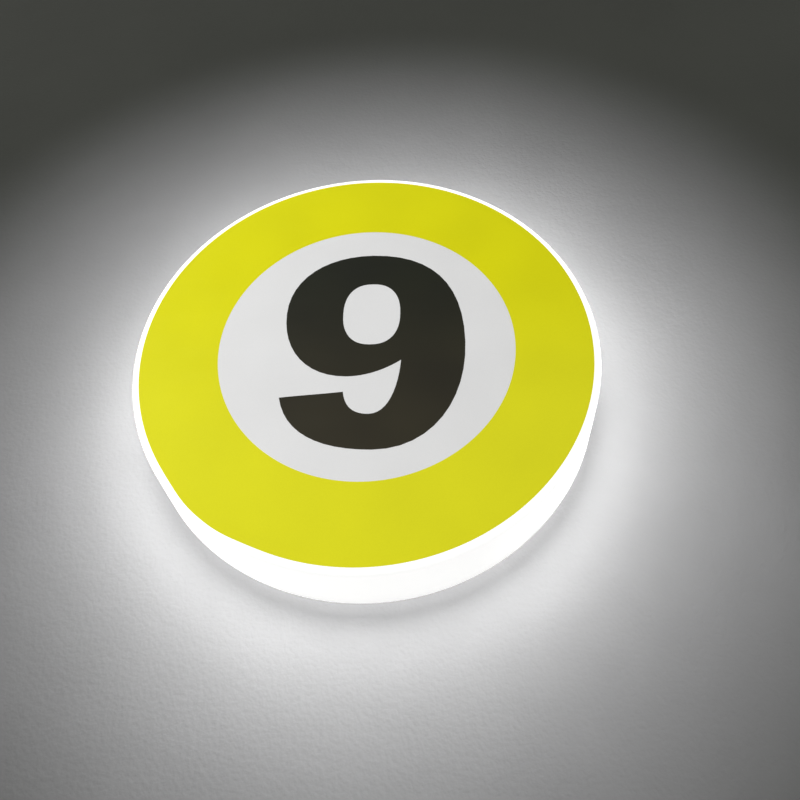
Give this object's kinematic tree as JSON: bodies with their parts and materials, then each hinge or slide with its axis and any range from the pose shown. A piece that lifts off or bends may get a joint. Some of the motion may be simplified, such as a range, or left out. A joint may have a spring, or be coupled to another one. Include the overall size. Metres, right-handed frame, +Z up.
{
  "type": "lighted wall sign",
  "caption": "Round lighted wall sign: an opal acrylic cover with a plain numeral on a white disc in a yellow ring, held by magnets on a stand-off steel tray of LED modules.",
  "frame": {"origin": "centre of the circle of wall screw holes, on the wall's surface", "axes": "+Y into the wall, +Z up, +X to the right of someone facing the sign"},
  "size_m": [0.4, 0.0854, 0.4],
  "materials": {
    "opal_acrylic": "opal, lit from inside",
    "white_film": "translucent film",
    "yellow_film": "translucent film",
    "black_film": "opaque film",
    "clear_acrylic": "cast",
    "magnet_plate": "nickel plate",
    "white_steel": "powder coat",
    "foam": "closed-cell foam",
    "zinc_steel": "zinc plate",
    "rivet_alloy": "plain",
    "spacer_alloy": "turned",
    "rubber": "matt",
    "tape": "foam tape",
    "module_plastic": "moulded",
    "phosphor": "lit",
    "lens_acrylic": "clear",
    "wire_red": "extruded",
    "wire_black": "extruded",
    "lead_sheath": "extruded",
    "driver_alloy": "extruded",
    "grey_plastic": "moulded",
    "board": "solder mask",
    "board_parts": "mixed",
    "box_plastic": "moulded",
    "terminal_plastic": "moulded",
    "brass": "plain",
    "core_brown": "extruded",
    "core_blue": "extruded",
    "core_green": "extruded",
    "gland_plastic": "moulded"
  },
  "bodies": {
    "base": {"back_tray": "white_steel", "edge_gasket": "foam", "catch_brackets": "zinc_steel", "bracket_rivets": "rivet_alloy", "wall_spacers": "spacer_alloy", "spacer_pads": "rubber", "led_pads": "tape", "led_housings": "module_plastic", "led_chips": "phosphor", "led_lenses": "lens_acrylic", "led_wires_red": "wire_red", "led_wires_black": "wire_black", "wire_clips": "module_plastic", "feed_grommet": "rubber", "output_lead": "lead_sheath", "driver_case": "driver_alloy", "driver_end_caps": "grey_plastic", "driver_board": "board", "driver_parts": "board_parts", "driver_screws": "zinc_steel", "driver_nuts": "zinc_steel", "mains_lead": "lead_sheath", "box_grommet": "rubber", "junction_box": "box_plastic", "junction_lid": "box_plastic", "lid_screws": "zinc_steel", "box_screws": "zinc_steel", "box_nuts": "zinc_steel", "terminal_block": "terminal_plastic", "terminal_screws": "brass", "live_core": "core_brown", "neutral_core": "core_blue", "earth_core": "core_green", "earth_lug": "zinc_steel", "earth_screw": "brass", "earth_nut": "brass", "gland_body": "gland_plastic", "gland_locknut": "gland_plastic", "gland_seal": "rubber", "gland_nut": "gland_plastic"},
    "cover": {"face_panel": "opal_acrylic", "return_wall": "opal_acrylic", "corner_bead": "opal_acrylic", "base_film": "white_film", "ring_film": "yellow_film", "numeral_film": "black_film", "seat_blocks": "clear_acrylic", "cover_magnets": "magnet_plate"}
  },
  "joints": [
    {"name": "cover_pull", "type": "slide", "parent": "base", "child": "cover", "axis": [0, -1, 0], "range_m": [0, 0.09]}
  ]
}
